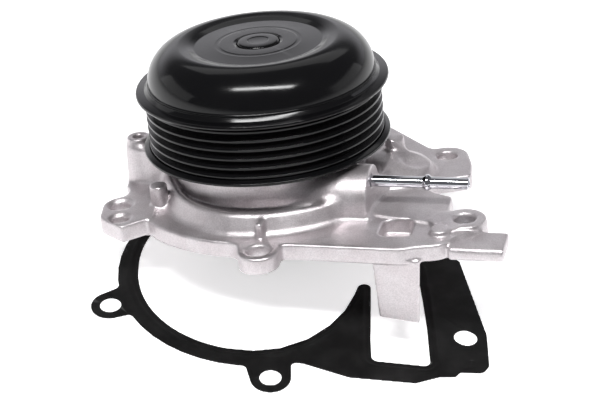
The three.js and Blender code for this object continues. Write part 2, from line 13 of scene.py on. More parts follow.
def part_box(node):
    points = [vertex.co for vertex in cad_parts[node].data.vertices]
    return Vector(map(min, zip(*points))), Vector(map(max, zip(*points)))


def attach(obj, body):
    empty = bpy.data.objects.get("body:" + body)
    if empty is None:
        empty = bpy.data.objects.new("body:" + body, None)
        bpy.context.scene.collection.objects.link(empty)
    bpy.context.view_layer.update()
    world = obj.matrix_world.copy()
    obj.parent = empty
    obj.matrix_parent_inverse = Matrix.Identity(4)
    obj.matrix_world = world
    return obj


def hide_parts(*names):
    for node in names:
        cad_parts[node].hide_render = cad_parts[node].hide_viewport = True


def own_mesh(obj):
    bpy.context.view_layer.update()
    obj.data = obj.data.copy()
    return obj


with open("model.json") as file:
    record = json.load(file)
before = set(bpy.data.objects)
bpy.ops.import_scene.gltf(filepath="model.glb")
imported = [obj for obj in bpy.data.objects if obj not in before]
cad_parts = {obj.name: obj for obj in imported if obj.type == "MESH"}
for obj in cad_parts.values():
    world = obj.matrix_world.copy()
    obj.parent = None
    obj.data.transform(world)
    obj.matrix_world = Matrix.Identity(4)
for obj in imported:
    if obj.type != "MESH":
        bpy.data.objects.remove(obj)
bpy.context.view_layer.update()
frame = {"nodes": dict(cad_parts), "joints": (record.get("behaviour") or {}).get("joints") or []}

MM = 0.001
FACETS = 192  # round a large turned piece
CELL = 0.55  # grid of the casting's distance field
CASTING_TRIANGLES = 140_000
GASKET_TRIANGLES = 60_000

# ---------- driving dimensions ----------
RIB_PITCH = 3.56
RIBS = 6
BELT_Z = 36.5  # middle of the belt's track
CREST_R = 45.4
RIB_DEPTH = 2.7
RIM_R = 48.4
LOWER_RIM_R = 47.7
RIM_Z = 48.9
PULLEY_FOOT_Z = 25
CAP_R = 43.4
CROWN_Z = 64.97
CROWN_R = 30
SHOULDER_R = 13.4
DISH_Z = 63.9
SHEET = 2.6

SHAFT_R = 7.96
SHAFT_TOP_Z = 64.3
SHAFT_FOOT_Z = -9.4
BEARING_R = 15
BEARING_FOOT_Z = 17
BEARING_TOP_Z = 55.9

FLANGE_T = 6.5
FLANGE_R = 55
NECK_R = 37
NECK_TOP_Z = 23.8
CHAMBER_R = 33.6
SNOUT_R = 19.6
RIDGE_Z = 13.8
VOLUTE_GROWTH = 6.6
LEFT_BLOCK_Z = 7.2
PLATFORM_Z = 7.6
RIGHT_PAD_Z = 7.8
LEG_FOOT_Z = -24.4
LEG_DRAFT = 0.055
LEG_SLANT = 0.12
POCKET_FLOOR_Z = 1.2
FRONT_RIB_Z = 12.6
ARM_Z = 5.2
HOLE_R = 4
PIN_HOLE_R = 3.2
THREAD_R = 2.1
LUG_R = 8

IMPELLER_FOOT_Z = -11.1
SHUTTER_R = 33.2
SHUTTER_BORE_R = 31.4
SHUTTER_TOP_Z = 17.6
SPRING_R = 24.4
SPRING_SEAT_Z = 2.4
SPRING_TOP_Z = 15
SPRING_TURNS = 2.5
SPRING_WIRE_R = 0.6
DOWEL_R = 3.7
DOWEL_BORE_R = 2.9
DOWEL_DROP = 3.2
GASKET_T = 0.6

LEAN_DEG = 13.4
LEAN_TOWARDS_DEG = 111.6
TURN_DEG = -14.5
GASKET_REACH = (63.7, 68.8)  # its ring's centre from its low corner

HOLE_LEFT = (-52.8, -28.6)
HOLE_LEFT_PIN = (-48.8, -40.1)
HOLE_FRONT = (11.8, -59.9)
HOLE_RIGHT = (81.5, -30.3)
HOLE_REAR_RIGHT = (64.5, 27.7)
HOLE_REAR = (-35.9, 49.3)

FRONT_EDGE_Y = -54.6
ARM_END_X = 98.5
DUCT = {"x": 45.8, "y": -21.5, "z": 11.4, "r": 11.6}
PIPE = {"y": -22, "z": 17.6, "r": 2.15, "from": 41, "to": 82.2, "bead": 66.8}
TALL_BOSS = (-53, -1.8)
TALL_BOSS_Z = 24.4
SMALL_BOSS = (-37.1, -26.6)
SMALL_BOSS_Z = 15.1
REAR_BOSS = (46.7, 15)
REAR_BOSS_Z = 19.4
DISC_BOSS = (74.3, -40.6)
DISC_BOSS_Z = 8.4

CAMERA_LENS = 97.71
CAMERA_FROM_PUMP = (0.0104, -0.51004, 0.38844)
CAMERA_TILT_DEG = 52.5


def pump_place():
    spin = next(j for j in frame["joints"] if j["name"] == "rotor_spin")
    towards = math.radians(LEAN_TOWARDS_DEG)
    lean_axis = Vector((0, 0, 1)).cross(Vector((math.cos(towards), math.sin(towards), 0)))
    lean = Matrix.Rotation(math.radians(LEAN_DEG), 4, lean_axis)
    turn = Matrix.Rotation(math.radians(TURN_DEG), 4, "Z")
    return Matrix.Translation(spin["pos_m"]) @ lean @ turn @ Matrix.Scale(MM, 4)


PUMP = pump_place()
GASKET_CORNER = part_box("flange_gasket")[0]
GASKET = Matrix.Translation(GASKET_CORNER + Vector((*GASKET_REACH, 0)) * MM) @ Matrix.Scale(MM, 4)


# ---------- outlines ----------
def arc(centre, r, from_deg, to_deg, steps):
    angles = np.radians(np.linspace(from_deg, to_deg, steps + 1))
    return [(centre[0] + r * math.cos(a), centre[1] + r * math.sin(a)) for a in angles]


def at_bearing(r, deg):
    return arc((0, 0), r, deg, deg, 1)[0]


def taut(circles):
    """The taut outline round some circles (x, y, r)."""
    points = sorted(p for x, y, r in circles for p in arc((x, y), r, 0, 360, 48)[:-1])

    def half(run):
        chain = []
        for p in run:
            while len(chain) > 1:
                (ax, ay), (bx, by) = chain[-2:]
                if (bx - ax) * (p[1] - ay) - (by - ay) * (p[0] - ax) > 1e-9:
                    break
                chain.pop()
            chain.append(p)
        return chain[:-1]

    return half(points) + half(points[::-1])


def softened(profile, steps=4):
    """A closed profile of points (u, v) or (u, v, radius), with its corners rounded."""
    result = []
    for i, point in enumerate(profile):
        here = Vector(point[:2])
        radius = point[2] if len(point) > 2 else 0
        to_last = Vector(profile[i - 1][:2]) - here
        to_next = Vector(profile[(i + 1) % len(profile)][:2]) - here
        if not radius:
            result.append(tuple(here))
            continue
        half_angle = to_last.angle(to_next) / 2
        reach = min(radius / math.tan(half_angle), to_last.length * 0.49, to_next.length * 0.49)
        start, end = here + to_last.normalized() * reach, here + to_next.normalized() * reach
        for k in range(steps + 1):
            t = k / steps
            result.append(tuple(start * (1 - t) ** 2 + here * 2 * t * (1 - t) + end * t * t))
    return result


# ---------- distance fields ----------
def merge(a, b, r):
    """Union of two distances, with a fillet of radius r."""
    if r == 0:
        return np.minimum(a, b)
    soft = np.sqrt(np.maximum(r - a, 0) ** 2 + np.maximum(r - b, 0) ** 2)
    return np.maximum(r, np.minimum(a, b)) - soft


def meet(a, b, r):
    """Intersection of two distances, with an edge rounded to radius r."""
    if r == 0:
        return np.maximum(a, b)
    soft = np.sqrt(np.maximum(r + a, 0) ** 2 + np.maximum(r + b, 0) ** 2)
    return np.minimum(-r, np.maximum(a, b)) + soft


def outline_distance(points, u, v):
    """Distance from each point of the grid u by v to a closed outline, negative inside."""
    pu, pv = np.meshgrid(u, v, indexing="ij")
    nearest = np.full(pu.shape, 1e9)
    inside = np.zeros(pu.shape, bool)
    for (au, av), (bu, bv) in zip(points, list(points[1:]) + [points[0]]):
        eu, ev = bu - au, bv - av
        length = eu * eu + ev * ev
        if length < 1e-12:
            continue
        t = np.clip(((pu - au) * eu + (pv - av) * ev) / length, 0, 1)
        nearest = np.minimum(nearest, (pu - au - t * eu) ** 2 + (pv - av - t * ev) ** 2)
        if ev:
            inside ^= ((av > pv) != (bv > pv)) & (pu < eu * (pv - av) / ev + au)
    return np.where(inside, -1, 1) * np.sqrt(nearest)


class Field:
    """Distance to a body's surface on a grid, in mm."""

    def __init__(self, low, high, steps):
        self.steps = np.array(steps, float)
        self.axes = [np.arange(a, b + s, s) for a, b, s in zip(low, high, steps)]
        self.d = np.full([len(a) for a in self.axes], 12, np.float32)

    def window(self, shape, reach):
        low, high, _ = shape
        return tuple(
            slice(*np.searchsorted(axis, (a - reach, b + reach)))
            for axis, a, b in zip(self.axes, low, high)
        )

    def distance(self, shape, cut):
        return shape[2](*(axis[s] for axis, s in zip(self.axes, cut))).astype(np.float32)

    def add(self, shape, r=1.5):
        cut = self.window(shape, r + 2)
        self.d[cut] = merge(self.d[cut], self.distance(shape, cut), r)

    def cut(self, shape, r=0.4):
        cut = self.window(shape, r + 2)
        self.d[cut] = meet(self.d[cut], -self.distance(shape, cut), r)


def prism(outline, low, high, edge=0.8, foot=0.3, taper=0.0):
    """A plate of some outline, with rounded upper and lower edges. It may widen downwards."""
    xs, ys = zip(*outline)

    def distance(x, y, z):
        side = outline_distance(outline, x, y)[:, :, None] + taper * (z - high)[None, None, :]
        over = np.broadcast_to((z - high)[None, None, :], side.shape)
        under = np.broadcast_to((low - z)[None, None, :], side.shape)
        return meet(meet(side, over, edge), under, foot)

    return (min(xs), min(ys), low), (max(xs), max(ys), high), distance


def leg_prism(outline, low, high, foot):
    """A leg that narrows downwards to a foot that slants along x."""
    xs, ys = zip(*outline)
    middle = sum(xs) / len(xs)

    def distance(x, y, z):
        narrowing = LEG_DRAFT * (high - z)[None, None, :]
        side = outline_distance(outline, x, y)[:, :, None] + narrowing
        slant = (low - LEG_SLANT * (x - middle))[:, None, None]
        under = np.broadcast_to(slant - z[None, None, :], side.shape)
        return np.maximum(meet(side, under, foot), (z - high)[None, None, :])

    return (min(xs), min(ys), low - 2), (max(xs), max(ys), high), distance


def from_table(profile, radius, along, transposed=False):
    """Distance to a turned profile of points (r, height), looked up by radius."""
    fine = 0.1
    table = outline_distance(profile, np.arange(0, radius.max() + 3 * fine, fine), along)
    index = (radius / fine).astype(int)
    part = (radius / fine - index)[..., None]
    found = table[index] * (1 - part) + table[index + 1] * part
    return np.moveaxis(found, -1, 0) if transposed else found


def turned(profile, centre=(0, 0), grow=None):
    """A body turned about an upright axis. grow(bearing) moves its profile outwards."""
    reach = max(p[0] for p in profile) + (6 if grow else 0)
    heights = [p[1] for p in profile]
    box_low = (centre[0] - reach, centre[1] - reach, min(heights))
    box_high = (centre[0] + reach, centre[1] + reach, max(heights))

    def distance(x, y, z):
        dx, dy = (x - centre[0])[:, None], (y - centre[1])[None, :]
        radius = np.hypot(dx, dy)
        if grow:
            radius = np.maximum(radius - grow(np.degrees(np.arctan2(dy, dx))), 0)
        return from_table(profile, radius, z)

    return box_low, box_high, distance


def turned_along_x(profile, y0, z0):
    """A body turned about a line along x, from points (r, x)."""
    reach = max(p[0] for p in profile)
    ends = [p[1] for p in profile]
    box_low, box_high = (min(ends), y0 - reach, z0 - reach), (max(ends), y0 + reach, z0 + reach)

    def distance(x, y, z):
        radius = np.hypot((y - y0)[:, None], (z - z0)[None, :])
        return from_table(profile, radius, x, transposed=True)

    return box_low, box_high, distance


def run_along_x(section, from_x, to_x, edge=0.6):
    """A bar along x with a section of points (y, z)."""
    ys, zs = zip(*section)

    def distance(x, y, z):
        side = outline_distance(section, y, z)[None, :, :]
        ends = np.maximum(from_x - x, x - to_x)[:, None, None]
        return meet(side, np.broadcast_to(ends, (len(x), len(y), len(z))), edge)

    return (from_x, min(ys), min(zs)), (to_x, max(ys), max(zs)), distance


def boss(centre, low, high, foot_r, top_r, edge=0.6):
    profile = [(0, low), (foot_r, low), (top_r, high, edge), (0, high)]
    return turned(softened(profile), centre)


def drilling(centre, low, r, chamfer, mouth):
    """A drilled hole with a chamfered mouth, and free space above it."""
    return turned([(0, low), (r, low), (r, mouth - chamfer), (r + chamfer + 2, mouth + 2),
                   (r + chamfer + 2, 33), (0, 33)], centre)


# ---------- a skin over a field ----------
def sampled(d, at):
    at = np.clip(at, 0, np.array(d.shape) - 1.001)
    base = at.astype(int)
    part = at - base
    total = np.zeros(len(at))
    for corner in itertools.product((0, 1), repeat=3):
        weight = np.prod(np.where(corner, part, 1 - part), axis=1)
        total += weight * d[tuple((base + corner).T)]
    return total


def skin(field):
    """Vertices and quads on the field's zero surface, one vertex to each cell it crosses."""
    d = field.d
    inside = d < 0
    corner_count = sum(
        inside[i:i + d.shape[0] - 1, j:j + d.shape[1] - 1, k:k + d.shape[2] - 1].astype(np.int8)
        for i, j, k in itertools.product((0, 1), repeat=3)
    )
    cells = np.argwhere((corner_count > 0) & (corner_count < 8))
    number = np.full(corner_count.shape, -1, np.int32)
    number[tuple(cells.T)] = np.arange(len(cells))
    total = np.zeros((len(cells), 3))
    hits = np.zeros(len(cells))
    quads = []
    for axis in range(3):
        second, third = np.roll(np.eye(3, dtype=int), axis, axis=1)[1:]
        ahead = np.eye(3, dtype=int)[axis]
        for u, v in itertools.product((0, 1), repeat=2):
            start = cells + u * second + v * third
            a, b = d[tuple(start.T)], d[tuple((start + ahead).T)]
            crossed = (a < 0) != (b < 0)
            share = (a / np.where(crossed, a - b, 1))[crossed]
            total[crossed] += start[crossed] + share[:, None] * ahead
            hits[crossed] += 1
        low = inside[tuple(slice(0, -1) if i == axis else slice(None) for i in range(3))]
        high = inside[tuple(slice(1, None) if i == axis else slice(None) for i in range(3))]
        edges = np.argwhere(low != high)
        ring = [edges - second - third, edges - third, edges, edges - second]
        faces = np.stack([number[tuple(c.T)] for c in ring], axis=1)
        leaving = low[tuple(edges.T)]
        quads.append(np.where(leaving[:, None], faces, faces[:, ::-1]))
    place = total / hits[:, None]
    for _ in range(2):
        slope = np.stack(
            [sampled(d, place + 0.5 * e) - sampled(d, place - 0.5 * e) for e in np.eye(3)], axis=1
        ) / field.steps
        size = np.maximum((slope ** 2).sum(axis=1), 0.05)
        move = -sampled(d, place)[:, None] * slope / size[:, None] / field.steps
        place += np.clip(move, -0.4, 0.4)
    origin = np.array([axis[0] for axis in field.axes])
    return origin + place * field.steps, np.concatenate(quads)


# ---------- meshes ----------
def piece(name, vertices, faces, place, sharp_deg=None):
    mesh = bpy.data.meshes.new(name)
    mesh.from_pydata([tuple(v) for v in vertices], [], [tuple(f) for f in faces])
    mesh.transform(place)
    mesh.update()
    mesh.shade_smooth()
    if sharp_deg:
        mesh.set_sharp_from_angle(angle=math.radians(sharp_deg))
    obj = bpy.data.objects.new(name, mesh)
    bpy.context.scene.collection.objects.link(obj)
    return obj


def installed(obj, body, slot, material, *nodes):
    obj.data.materials.clear()
    obj.data.materials.append(material)
    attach(obj, body)
    if nodes:
        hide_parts(*nodes)
    return obj


def lathe(name, profile, facets=FACETS, axis="z", shift=(0, 0, 0)):
    """A closed turned mesh from points (r, height). A point on the axis closes to one vertex."""
    vertices, rings = [], []
    for r, height in profile:
        count = 1 if r < 1e-6 else facets
        rings.append(range(len(vertices), len(vertices) + count))
        for i in range(count):
            angle = 2 * math.pi * i / facets
            at = Vector((r * math.cos(angle), r * math.sin(angle), height))
            if axis == "x":
                at = Vector((at.z, at.x, at.y))
            vertices.append(at + Vector(shift))
    faces = []
    for low, high in zip(rings, rings[1:] + rings[:1]):
        for i in range(facets):
            k = (i + 1) % facets
            if len(low) == 1 and len(high) == 1:
                break
            if len(low) == 1:
                faces.append((low[0], high[k], high[i]))
            elif len(high) == 1:
                faces.append((low[i], low[k], high[0]))
            else:
                faces.append((low[i], low[k], high[k], high[i]))
    obj = piece(name, vertices, faces, PUMP, sharp_deg=35)
    outward(obj)
    return obj


def outward(obj):
    """Turns a closed mesh right side out."""
    mesh = obj.data
    mesh.calc_loop_triangles()
    co = np.array([v.co for v in mesh.vertices])
    tri = np.array([t.vertices for t in mesh.loop_triangles])
    a, b, c = co[tri[:, 0]], co[tri[:, 1]], co[tri[:, 2]]
    if np.einsum("ij,ij->i", a, np.cross(b, c)).sum() < 0:
        mesh.flip_normals()


def thinned(obj, triangles):
    """Keeps a dense mesh under a number of triangles."""
    obj.data.calc_loop_triangles()
    share = triangles / len(obj.data.loop_triangles)
    if share >= 1:
        return
    modifier = obj.modifiers.new("thin", "DECIMATE")
    modifier.ratio = share
    depsgraph = bpy.context.evaluated_depsgraph_get()
    mesh = bpy.data.meshes.new_from_object(obj.evaluated_get(depsgraph))
    obj.modifiers.clear()
    obj.data = mesh
    mesh.shade_smooth()


# ---------- materials ----------
class Look:
    """A node material with a few shorthands for its inputs."""

    def __init__(self, name, colour, metallic, roughness, **extra):
        self.material = bpy.data.materials.new(name)
        self.material.use_nodes = True
        self.tree = self.material.node_tree
        self.shader = self.tree.nodes["Principled BSDF"]
        self.coordinates = self.node("ShaderNodeTexCoord").outputs["Object"]
        self.set("Base Color", (*colour, 1))
        self.set("Metallic", metallic)
        self.set("Roughness", roughness)
        for key, value in extra.items():
            self.set(key.replace("_", " "), value)

    def set(self, socket, value):
        self.shader.inputs[socket].default_value = value

    def node(self, kind, **settings):
        made = self.tree.nodes.new(kind)
        for key, value in settings.items():
            setattr(made, key, value)
        return made

    def join(self, output, target):
        self.tree.links.new(output, target)

    def noise(self, size_mm, detail=3):
        """Noise with features of about size_mm."""
        made = self.node("ShaderNodeTexNoise")
        made.inputs["Scale"].default_value = 1000 / size_mm
        made.inputs["Detail"].default_value = detail
        self.join(self.coordinates, made.inputs["Vector"])
        return made.outputs["Fac"]

    def edges(self, low, high):
        """0 in hollows, 1 on convex edges."""
        geometry = self.node("ShaderNodeNewGeometry")
        return self.scaled(geometry.outputs["Pointiness"], low, high, 0, 1)

    def scaled(self, value, low, high, to_low, to_high):
        """The range low to high moved onto to_low to to_high, and held at its ends."""
        made = self.node("ShaderNodeMapRange")
        for socket, number in zip(("From Min", "From Max", "To Min", "To Max"),
                                  (low, high, to_low, to_high)):
            made.inputs[socket].default_value = number
        self.join(value, made.inputs["Value"])
        return made.outputs["Result"]

    def math(self, operation, a, b):
        made = self.node("ShaderNodeMath", operation=operation)
        for socket, value in zip(made.inputs, (a, b)):
            if isinstance(value, (int, float)):
                socket.default_value = value
            else:
                self.join(value, socket)
        return made.outputs["Value"]

    def mix(self, share, a, b):
        """Colour a where share is 0, b where it is 1."""
        made = self.node("ShaderNodeMix", data_type="RGBA")
        self.join(share, made.inputs["Factor"])
        colours = [s for s in made.inputs if s.type == "RGBA"]
        for socket, value in zip(colours, (a, b)):
            if isinstance(value, tuple):
                socket.default_value = (*value, 1)
            else:
                self.join(value, socket)
        return next(s for s in made.outputs if s.type == "RGBA")

    def drive(self, socket, value):
        self.join(value, self.shader.inputs[socket])

    def relief(self, height, depth_mm, below=None):
        made = self.node("ShaderNodeBump")
        made.inputs["Distance"].default_value = depth_mm * MM
        self.join(height, made.inputs["Height"])
        if below is not None:
            self.join(below, made.inputs["Normal"])
        self.join(made.outputs["Normal"], self.shader.inputs["Normal"])
        return made.outputs["Normal"]


def cast_aluminium():
    look = Look("cast_aluminium", (0.58, 0.54, 0.56), 0.85, 0.42)
    grain = look.noise(0.5, 4)
    patches = look.noise(9, 3)
    swell = look.noise(3.2, 2)
    base = look.mix(look.scaled(patches, 0.3, 0.7, 0, 1), (0.58, 0.535, 0.55), (0.68, 0.645, 0.66))
    specks = look.scaled(grain, 0.32, 0.68, 0.86, 1.08)
    shaded = look.node("ShaderNodeVectorMath", operation="SCALE")
    look.join(base, shaded.inputs[0])
    look.join(specks, shaded.inputs["Scale"])
    worn = look.edges(0.52, 0.6)
    look.drive("Base Color", look.mix(worn, shaded.outputs["Vector"], (0.86, 0.82, 0.84)))
    rough = look.scaled(patches, 0.3, 0.7, 0.38, 0.48)
    look.drive("Roughness", look.math("SUBTRACT", rough, look.math("MULTIPLY", worn, 0.12)))
    below = look.relief(swell, 0.1)
    look.relief(grain, 0.07, below)
    return look.material


def black_paint():
    look = Look("black_paint", (0.004, 0.004, 0.0045), 0.0, 0.2, Specular_IOR_Level=0.28)
    peel = look.noise(1.6, 2)
    dust = look.noise(14, 4)
    look.drive("Roughness", look.scaled(dust, 0.35, 0.7, 0.1, 0.2))
    worn = look.edges(0.58, 0.72)
    look.drive("Base Color", look.mix(worn, (0.0035, 0.0035, 0.004), (0.03, 0.03, 0.032)))
    look.relief(peel, 0.004)
    return look.material


def steel(name, colour, roughness, spread, grain_mm, depth_mm):
    look = Look(name, colour, 1.0, roughness)
    grain = look.noise(grain_mm, 3)
    stain = look.noise(6, 3)
    dark = tuple(c * 0.82 for c in colour)
    look.drive("Base Color", look.mix(look.scaled(stain, 0.35, 0.65, 0, 1), dark, colour))
    look.drive("Roughness", look.scaled(grain, 0.3, 0.7, roughness, roughness + spread))
    look.relief(grain, depth_mm)
    return look.material


def dull(name, colour, roughness, grain_mm, depth_mm, worn_colour, sheen=0.0, level=0.5):
    """Moulded plastic, rubber or carbon."""
    look = Look(name, colour, 0.0, roughness, Sheen_Weight=sheen, Specular_IOR_Level=level)
    grain = look.noise(grain_mm, 3)
    bloom = look.noise(7, 3)
    dusty = tuple(min(1, c * 1.5 + 0.004) for c in colour)
    tint = look.mix(look.scaled(bloom, 0.4, 0.75, 0, 1), colour, dusty)
    look.drive("Base Color", look.mix(look.edges(0.53, 0.62), tint, worn_colour))
    look.drive("Roughness", look.scaled(grain, 0.3, 0.7, roughness - 0.08, roughness + 0.08))
    look.relief(grain, depth_mm)
    return look.material


MATERIALS = {
    "cast_aluminium": cast_aluminium(),
    "black_paint": black_paint(),
    "bright_steel": steel("bright_steel", (0.7, 0.71, 0.75), 0.09, 0.03, 9, 0.0),
    "bearing_steel": steel("bearing_steel", (0.6, 0.6, 0.62), 0.22, 0.14, 0.35, 0.01),
    "black_plastic": dull("black_plastic", (0.018, 0.018, 0.02), 0.45, 0.6, 0.02,
                          (0.05, 0.05, 0.052)),
    "rubber": dull("rubber", (0.012, 0.012, 0.012), 0.75, 0.5, 0.03, (0.03, 0.03, 0.03), 0.1),
    "carbon": dull("carbon", (0.03, 0.03, 0.033), 0.4, 0.25, 0.01, (0.09, 0.09, 0.095)),
    "gasket_coat": dull("gasket_coat", (0.005, 0.005, 0.005), 0.42, 0.4, 0.01,
                        (0.05, 0.05, 0.05), level=0.12),
}


# ---------- the casting ----------
def flange_outline(x, y):
    """Each row is a lug or a stretch of the edge, as circles (x, y, r)."""
    plates = [
        [(0, 0, FLANGE_R)],
        [(-52.6, -28.8, 6.9), (-40, -30, 8), (-40, -10, 8)],
        [(-52.2, -8, 5.4), (-52.5, -2, 6), (-38, 22, 10), (-38, -20, 8)],
        [(*HOLE_FRONT, 7.6), (8, -44, 9)],
        [(22, FRONT_EDGE_Y + 4, 4), (61, FRONT_EDGE_Y + 4, 4), (72, -43.5, 6), (40, 0, 10)],
        [(72, -43.5, 6), (*HOLE_RIGHT, 8.2), (72, -30, 6), (58, -42, 6)],
        [(*HOLE_REAR_RIGHT, 8.5), (72.6, 20.5, 3), (74.7, 11.3, 2.3), (40, 5, 10)],
        [(71.5, -13.4, 2.3), (71.5, -30, 3.6), (40, 0, 10), (40, -20, 8)],
        [(33, 49, 6.5), (53, 31, 5), (30, 20, 10)],
        [(*HOLE_REAR, LUG_R), (-25, 33, 12)],
    ]
    outline = outline_distance(taut(plates[0]), x, y)
    for circles in plates[1:]:
        outline = merge(outline, outline_distance(taut(circles), x, y), 3.5)
    return outline


def flange():
    def distance(x, y, z):
        side = flange_outline(x, y)[:, :, None]
        top = (z - FLANGE_T)[None, None, :]
        foot = np.broadcast_to(-z[None, None, :], (len(x), len(y), len(z)))
        return meet(meet(side, top, 0.9), foot, 0.3)

    return (-64, -71, 0), (92, 60, FLANGE_T), distance


def volute_growth(bearing):
    """How far the volute's rim lies outside its narrow start, mm."""
    growing, shrinking = (bearing + 143) / 50, (100 - bearing) / 60
    return np.clip(growing, 0, 1) * np.clip(shrinking, 0, 1) * VOLUTE_GROWTH


def volute_cavity():
    section = softened([(0, -5), (39.4, -5), (39.4, 8.8, 2), (0, 8.8)])
    low, high, distance = turned(section, grow=volute_growth)

    def ringed(x, y, z):
        core = NECK_R - np.hypot(x[:, None], y[None, :])[:, :, None]
        return meet(distance(x, y, z), core, 1.5)

    return low, high, ringed


def add_flange(field):
    field.add(flange(), 0)
    left_block = taut([(-52.6, -28.8, 6.9), (-51.6, -37, 6), (-45.8, -46, 1.5), (-37.6, -37.6, 1.5),
                       (-44, -20, 5)])
    field.add(prism(left_block, 0, LEFT_BLOCK_Z, 0.8, 1.6), 0.8)


def add_volute(field):
    roof = softened([
        (0, 0.5), (43.8, 0.5), (43.6, 6.9), (40.9, 13, 1.2), (39.9, RIDGE_Z, 0.9),
        (38.4, RIDGE_Z, 0.9), (36.4, 11.4, 0.8), (0, 10.6),
    ])
    field.add(turned(roof, grow=volute_growth), 2)
    neck = softened([
        (0, 0.5), (NECK_R, 0.5), (NECK_R - 0.4, NECK_TOP_Z, 1.6),
        (SNOUT_R + 0.2, NECK_TOP_Z, 2.5), (SNOUT_R, BEARING_TOP_Z + 0.2, 1), (0, BEARING_TOP_Z + 0.2),
    ])
    field.add(turned(neck), 0.7)


def add_duct(field):
    duct = softened([(0, 8), (DUCT["r"], 8), (DUCT["r"], DUCT["x"], 0.6), (0, DUCT["x"])])
    field.add(turned_along_x(duct, DUCT["y"], DUCT["z"]), 3)
    front = DUCT["y"] - DUCT["r"]
    foot = [(front, 0.5), (front, DUCT["z"]), (DUCT["y"], DUCT["z"]), (DUCT["y"], 0.5)]
    field.add(run_along_x(foot, 14, DUCT["x"], 0.6), 0)


def add_outlet_side(field):
    """The platform and lug at the right, the arm beyond them and the leg below."""
    platform = taut([(50, -27, 3), (60.8, -27, 2.4), (71, -32.2, 2.4), (72.6, -30, 2.4),
                     (71.6, -13.4, 2.1), (44, -6, 5)])
    field.add(prism(platform, 0.5, PLATFORM_Z, 0.6), 0.8)
    lug = taut([(71, -32.2, 2.4), (76, -37, 4), (*HOLE_RIGHT, 7), (74.5, -29, 4)])
    field.add(prism(lug, 0.5, PLATFORM_Z, 0.6), 0.8)
    field.add(boss(HOLE_RIGHT, 0.5, RIGHT_PAD_Z, 8.3, 7.9, 0.5), 0.6)
    arm = [(-49.8, 0.5), (-49.8, ARM_Z, 4.4), (-35.5, ARM_Z, 0.8), (-35.5, 0.5)]
    field.add(run_along_x(softened(arm, 8), 78.6, ARM_END_X, 1), 2)
    leg = taut([(52.9, -51.7, 1.5), (67.4, -51.7, 1.5), (61.5, -33, 1.5), (52.7, -33, 1.5)])
    field.add(leg_prism(leg, LEG_FOOT_Z, 1, 1.6), 1)


def add_bosses(field):
    front_rib = taut([(9.9, -50.6, 1.3), (9.9, -44, 1.3)])
    field.add(prism(front_rib, 0.5, FRONT_RIB_Z, 0.8), 0.9)
    field.add(boss(TALL_BOSS, 0.5, TALL_BOSS_Z, 5.8, 4.5), 1.5)
    gusset = taut([(-52.6, -2.2, 4.8), (-40, -4.8, 4.8)])
    field.add(prism(gusset, 0.5, 21.6, 1.6, taper=0.05), 2.2)
    field.add(boss(SMALL_BOSS, 0.5, SMALL_BOSS_Z, 3.8, 3.3, 0.4), 1)
    field.add(boss(DISC_BOSS, 0.5, DISC_BOSS_Z, 3.8, 3.5), 0.7)
    # The rear boss stands on a mound, with a bowl beside it.
    mound = [(0, 0.5), (18, 0.5), (17, 8.6), (15.4, 10.4, 2), (7, 14.5, 4), (0, 15)]
    field.add(turned(softened(mound), (46, 8)), 2)
    field.add(boss(REAR_BOSS, 0.5, REAR_BOSS_Z, 4.6, 3.7), 2)
    bowl = softened([(0, 11), (4, 11.6, 3), (8, 18, 4), (9, 24), (0, 24)])
    field.cut(turned(bowl, (55.5, 8.5)), 2.4)


def cut_hollows(field):
    bearing_seat = [(0, BEARING_FOOT_Z), (BEARING_R + 0.2, BEARING_FOOT_Z),
                    (BEARING_R + 0.2, 70), (0, 70)]
    field.cut(turned(bearing_seat), 0.3)
    chamber = [(SNOUT_R, -5), (CHAMBER_R, -5), (CHAMBER_R, NECK_TOP_Z - 3, 1),
               (SNOUT_R, NECK_TOP_Z - 3, 1)]
    field.cut(turned(softened(chamber)), 0.4)
    field.cut(volute_cavity(), 0.8)
    seal_seat = [(0, -5), (13.4, -5), (13.4, BEARING_FOOT_Z + 1), (0, BEARING_FOOT_Z + 1)]
    field.cut(turned(seal_seat), 0.3)
    duct_core = taut([(38.5, DUCT["y"] + 3, 3), (41, DUCT["y"] - 5, 3), (41, DUCT["y"] + 3, 3)])
    field.cut(prism(duct_core, -5, 12, 2), 0.8)
    pocket = taut([(54.6, -42, 2.5), (61.3, -42, 2.5), (54.4, -34.4, 2.5), (61.1, -34.4, 2.5)])
    field.cut(prism(pocket, POCKET_FLOOR_Z, 30, 0.3, 1), 0.3)


def cut_holes(field):
    """Drilled holes: five for screws, one for a pin, a thread, and the pipe's seat."""
    for hole in (HOLE_LEFT, HOLE_FRONT, HOLE_REAR_RIGHT, HOLE_REAR):
        field.cut(drilling(hole, -5, HOLE_R, 0.7, FLANGE_T), 0.3)
    field.cut(drilling(HOLE_RIGHT, -5, HOLE_R, 0.7, RIGHT_PAD_Z), 0.3)
    field.cut(drilling(HOLE_LEFT_PIN, -5, PIN_HOLE_R, 0.7, FLANGE_T), 0.3)
    field.cut(drilling(TALL_BOSS, 10, THREAD_R, 0.6, TALL_BOSS_Z), 0.3)
    pipe_hole = [(0, PIPE["from"] - 0.3), (PIPE["r"] + 0.25, PIPE["from"] - 0.3),
                 (PIPE["r"] + 0.25, 60), (0, 60)]
    field.cut(turned_along_x(pipe_hole, PIPE["y"], PIPE["z"]), 0.3)


def casting_field():
    field = Field((-63.5, -70.5, -27), (100, 60.5, 58), (CELL,) * 3)
    for step in (add_flange, add_volute, add_duct, add_outlet_side, add_bosses, cut_hollows,
                 cut_holes):
        step(field)
    return field


casting = piece("casting_skin", *skin(casting_field()), PUMP)
thinned(casting, CASTING_TRIANGLES)
installed(casting, "housing", "cast_aluminium", MATERIALS["cast_aluminium"], "pump_casting")


